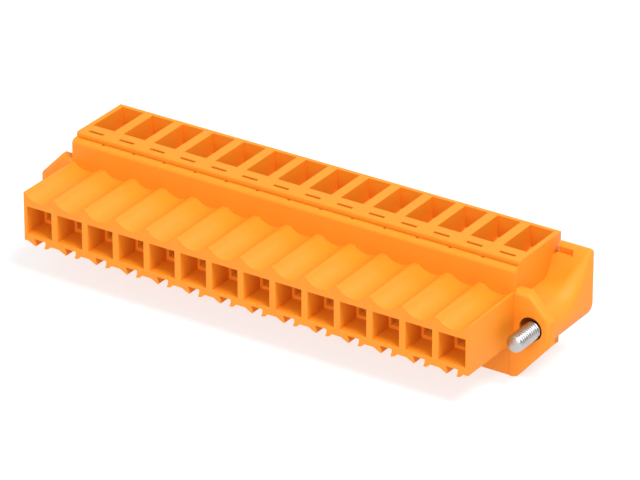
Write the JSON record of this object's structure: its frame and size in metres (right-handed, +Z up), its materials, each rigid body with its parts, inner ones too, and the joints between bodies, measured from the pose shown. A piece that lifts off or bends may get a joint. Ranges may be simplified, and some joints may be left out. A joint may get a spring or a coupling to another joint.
{
  "type": "pluggable terminal block",
  "caption": "Orange plug-in terminal block: a row of square sockets, wire wells that open upwards, and a captive screw in a flange at each end.",
  "frame": {"origin": "middle of the bounding box's footprint, at the lowest face of the wire-entry block", "axes": "+X along the row of poles, towards the right flange as seen from the sockets; -Y is the plugging direction, out of the sockets; +Z up, out of the wire wells"},
  "size_m": [0.082, 0.023, 0.0165],
  "materials": {
    "housing": "moulded polyester, satin",
    "contact": "tin plated",
    "yoke": "zinc plated",
    "screw": "zinc plated"
  },
  "bodies": {
    "plug": {"front_housing": "housing", "clamp_housing": "housing", "contact_01": "contact", "contact_02": "contact", "contact_03": "contact", "contact_04": "contact", "contact_05": "contact", "contact_06": "contact", "contact_07": "contact", "contact_08": "contact", "contact_09": "contact", "contact_10": "contact", "contact_11": "contact", "contact_12": "contact", "contact_13": "contact", "contact_14": "contact"},
    "clamp_screw_01": {"clamp_screw_01": "screw"},
    "yoke_01": {"yoke_01": "yoke"},
    "clamp_screw_02": {"clamp_screw_02": "screw"},
    "yoke_02": {"yoke_02": "yoke"},
    "clamp_screw_03": {"clamp_screw_03": "screw"},
    "yoke_03": {"yoke_03": "yoke"},
    "clamp_screw_04": {"clamp_screw_04": "screw"},
    "yoke_04": {"yoke_04": "yoke"},
    "clamp_screw_05": {"clamp_screw_05": "screw"},
    "yoke_05": {"yoke_05": "yoke"},
    "clamp_screw_06": {"clamp_screw_06": "screw"},
    "yoke_06": {"yoke_06": "yoke"},
    "clamp_screw_07": {"clamp_screw_07": "screw"},
    "yoke_07": {"yoke_07": "yoke"},
    "clamp_screw_08": {"clamp_screw_08": "screw"},
    "yoke_08": {"yoke_08": "yoke"},
    "clamp_screw_09": {"clamp_screw_09": "screw"},
    "yoke_09": {"yoke_09": "yoke"},
    "clamp_screw_10": {"clamp_screw_10": "screw"},
    "yoke_10": {"yoke_10": "yoke"},
    "clamp_screw_11": {"clamp_screw_11": "screw"},
    "yoke_11": {"yoke_11": "yoke"},
    "clamp_screw_12": {"clamp_screw_12": "screw"},
    "yoke_12": {"yoke_12": "yoke"},
    "clamp_screw_13": {"clamp_screw_13": "screw"},
    "yoke_13": {"yoke_13": "yoke"},
    "clamp_screw_14": {"clamp_screw_14": "screw"},
    "yoke_14": {"yoke_14": "yoke"},
    "flange_screw_left": {"flange_screw_left": "screw"},
    "flange_screw_right": {"flange_screw_right": "screw"}
  },
  "joints": [
    {"name": "clamp_screw_01_turn", "type": "hinge", "parent": "plug", "child": "clamp_screw_01", "pos_m": [-0.03302, 0.00847, 0.0053], "axis": [0, -1, 0], "range_deg": [0, 1584]},
    {"name": "yoke_01_slide", "type": "slide", "parent": "plug", "child": "yoke_01", "axis": [0, 1, 0], "range_m": [0, 0.0022]},
    {"name": "clamp_screw_02_turn", "type": "hinge", "parent": "plug", "child": "clamp_screw_02", "pos_m": [-0.02794, 0.00847, 0.0053], "axis": [0, -1, 0], "range_deg": [0, 1584]},
    {"name": "yoke_02_slide", "type": "slide", "parent": "plug", "child": "yoke_02", "axis": [0, 1, 0], "range_m": [0, 0.0022]},
    {"name": "clamp_screw_03_turn", "type": "hinge", "parent": "plug", "child": "clamp_screw_03", "pos_m": [-0.02286, 0.00847, 0.0053], "axis": [0, -1, 0], "range_deg": [0, 1584]},
    {"name": "yoke_03_slide", "type": "slide", "parent": "plug", "child": "yoke_03", "axis": [0, 1, 0], "range_m": [0, 0.0022]},
    {"name": "clamp_screw_04_turn", "type": "hinge", "parent": "plug", "child": "clamp_screw_04", "pos_m": [-0.01778, 0.00847, 0.0053], "axis": [0, -1, 0], "range_deg": [0, 1584]},
    {"name": "yoke_04_slide", "type": "slide", "parent": "plug", "child": "yoke_04", "axis": [0, 1, 0], "range_m": [0, 0.0022]},
    {"name": "clamp_screw_05_turn", "type": "hinge", "parent": "plug", "child": "clamp_screw_05", "pos_m": [-0.0127, 0.00847, 0.0053], "axis": [0, -1, 0], "range_deg": [0, 1584]},
    {"name": "yoke_05_slide", "type": "slide", "parent": "plug", "child": "yoke_05", "axis": [0, 1, 0], "range_m": [0, 0.0022]},
    {"name": "clamp_screw_06_turn", "type": "hinge", "parent": "plug", "child": "clamp_screw_06", "pos_m": [-0.00762, 0.00847, 0.0053], "axis": [0, -1, 0], "range_deg": [0, 1584]},
    {"name": "yoke_06_slide", "type": "slide", "parent": "plug", "child": "yoke_06", "axis": [0, 1, 0], "range_m": [0, 0.0022]},
    {"name": "clamp_screw_07_turn", "type": "hinge", "parent": "plug", "child": "clamp_screw_07", "pos_m": [-0.00254, 0.00847, 0.0053], "axis": [0, -1, 0], "range_deg": [0, 1584]},
    {"name": "yoke_07_slide", "type": "slide", "parent": "plug", "child": "yoke_07", "axis": [0, 1, 0], "range_m": [0, 0.0022]},
    {"name": "clamp_screw_08_turn", "type": "hinge", "parent": "plug", "child": "clamp_screw_08", "pos_m": [0.00254, 0.00847, 0.0053], "axis": [0, -1, 0], "range_deg": [0, 1584]},
    {"name": "yoke_08_slide", "type": "slide", "parent": "plug", "child": "yoke_08", "axis": [0, 1, 0], "range_m": [0, 0.0022]},
    {"name": "clamp_screw_09_turn", "type": "hinge", "parent": "plug", "child": "clamp_screw_09", "pos_m": [0.00762, 0.00847, 0.0053], "axis": [0, -1, 0], "range_deg": [0, 1584]},
    {"name": "yoke_09_slide", "type": "slide", "parent": "plug", "child": "yoke_09", "axis": [0, 1, 0], "range_m": [0, 0.0022]},
    {"name": "clamp_screw_10_turn", "type": "hinge", "parent": "plug", "child": "clamp_screw_10", "pos_m": [0.0127, 0.00847, 0.0053], "axis": [0, -1, 0], "range_deg": [0, 1584]},
    {"name": "yoke_10_slide", "type": "slide", "parent": "plug", "child": "yoke_10", "axis": [0, 1, 0], "range_m": [0, 0.0022]},
    {"name": "clamp_screw_11_turn", "type": "hinge", "parent": "plug", "child": "clamp_screw_11", "pos_m": [0.01778, 0.00847, 0.0053], "axis": [0, -1, 0], "range_deg": [0, 1584]},
    {"name": "yoke_11_slide", "type": "slide", "parent": "plug", "child": "yoke_11", "axis": [0, 1, 0], "range_m": [0, 0.0022]},
    {"name": "clamp_screw_12_turn", "type": "hinge", "parent": "plug", "child": "clamp_screw_12", "pos_m": [0.02286, 0.00847, 0.0053], "axis": [0, -1, 0], "range_deg": [0, 1584]},
    {"name": "yoke_12_slide", "type": "slide", "parent": "plug", "child": "yoke_12", "axis": [0, 1, 0], "range_m": [0, 0.0022]},
    {"name": "clamp_screw_13_turn", "type": "hinge", "parent": "plug", "child": "clamp_screw_13", "pos_m": [0.02794, 0.00847, 0.0053], "axis": [0, -1, 0], "range_deg": [0, 1584]},
    {"name": "yoke_13_slide", "type": "slide", "parent": "plug", "child": "yoke_13", "axis": [0, 1, 0], "range_m": [0, 0.0022]},
    {"name": "clamp_screw_14_turn", "type": "hinge", "parent": "plug", "child": "clamp_screw_14", "pos_m": [0.03302, 0.00847, 0.0053], "axis": [0, -1, 0], "range_deg": [0, 1584]},
    {"name": "yoke_14_slide", "type": "slide", "parent": "plug", "child": "yoke_14", "axis": [0, 1, 0], "range_m": [0, 0.0022]},
    {"name": "flange_screw_left_turn", "type": "hinge", "parent": "plug", "child": "flange_screw_left", "pos_m": [-0.0381, 0.00047, 0.00742], "axis": [0, -1, 0], "continuous": true},
    {"name": "flange_screw_right_turn", "type": "hinge", "parent": "plug", "child": "flange_screw_right", "pos_m": [0.0381, 0.00047, 0.00742], "axis": [0, -1, 0], "continuous": true}
  ],
  "couplings": [
    {"joint": "clamp_screw_01_turn", "follows": "yoke_01_slide", "rad_per_m": 12566},
    {"joint": "clamp_screw_02_turn", "follows": "yoke_02_slide", "rad_per_m": 12566},
    {"joint": "clamp_screw_03_turn", "follows": "yoke_03_slide", "rad_per_m": 12566},
    {"joint": "clamp_screw_04_turn", "follows": "yoke_04_slide", "rad_per_m": 12566},
    {"joint": "clamp_screw_05_turn", "follows": "yoke_05_slide", "rad_per_m": 12566},
    {"joint": "clamp_screw_06_turn", "follows": "yoke_06_slide", "rad_per_m": 12566},
    {"joint": "clamp_screw_07_turn", "follows": "yoke_07_slide", "rad_per_m": 12566},
    {"joint": "clamp_screw_08_turn", "follows": "yoke_08_slide", "rad_per_m": 12566},
    {"joint": "clamp_screw_09_turn", "follows": "yoke_09_slide", "rad_per_m": 12566},
    {"joint": "clamp_screw_10_turn", "follows": "yoke_10_slide", "rad_per_m": 12566},
    {"joint": "clamp_screw_11_turn", "follows": "yoke_11_slide", "rad_per_m": 12566},
    {"joint": "clamp_screw_12_turn", "follows": "yoke_12_slide", "rad_per_m": 12566},
    {"joint": "clamp_screw_13_turn", "follows": "yoke_13_slide", "rad_per_m": 12566},
    {"joint": "clamp_screw_14_turn", "follows": "yoke_14_slide", "rad_per_m": 12566}
  ]
}
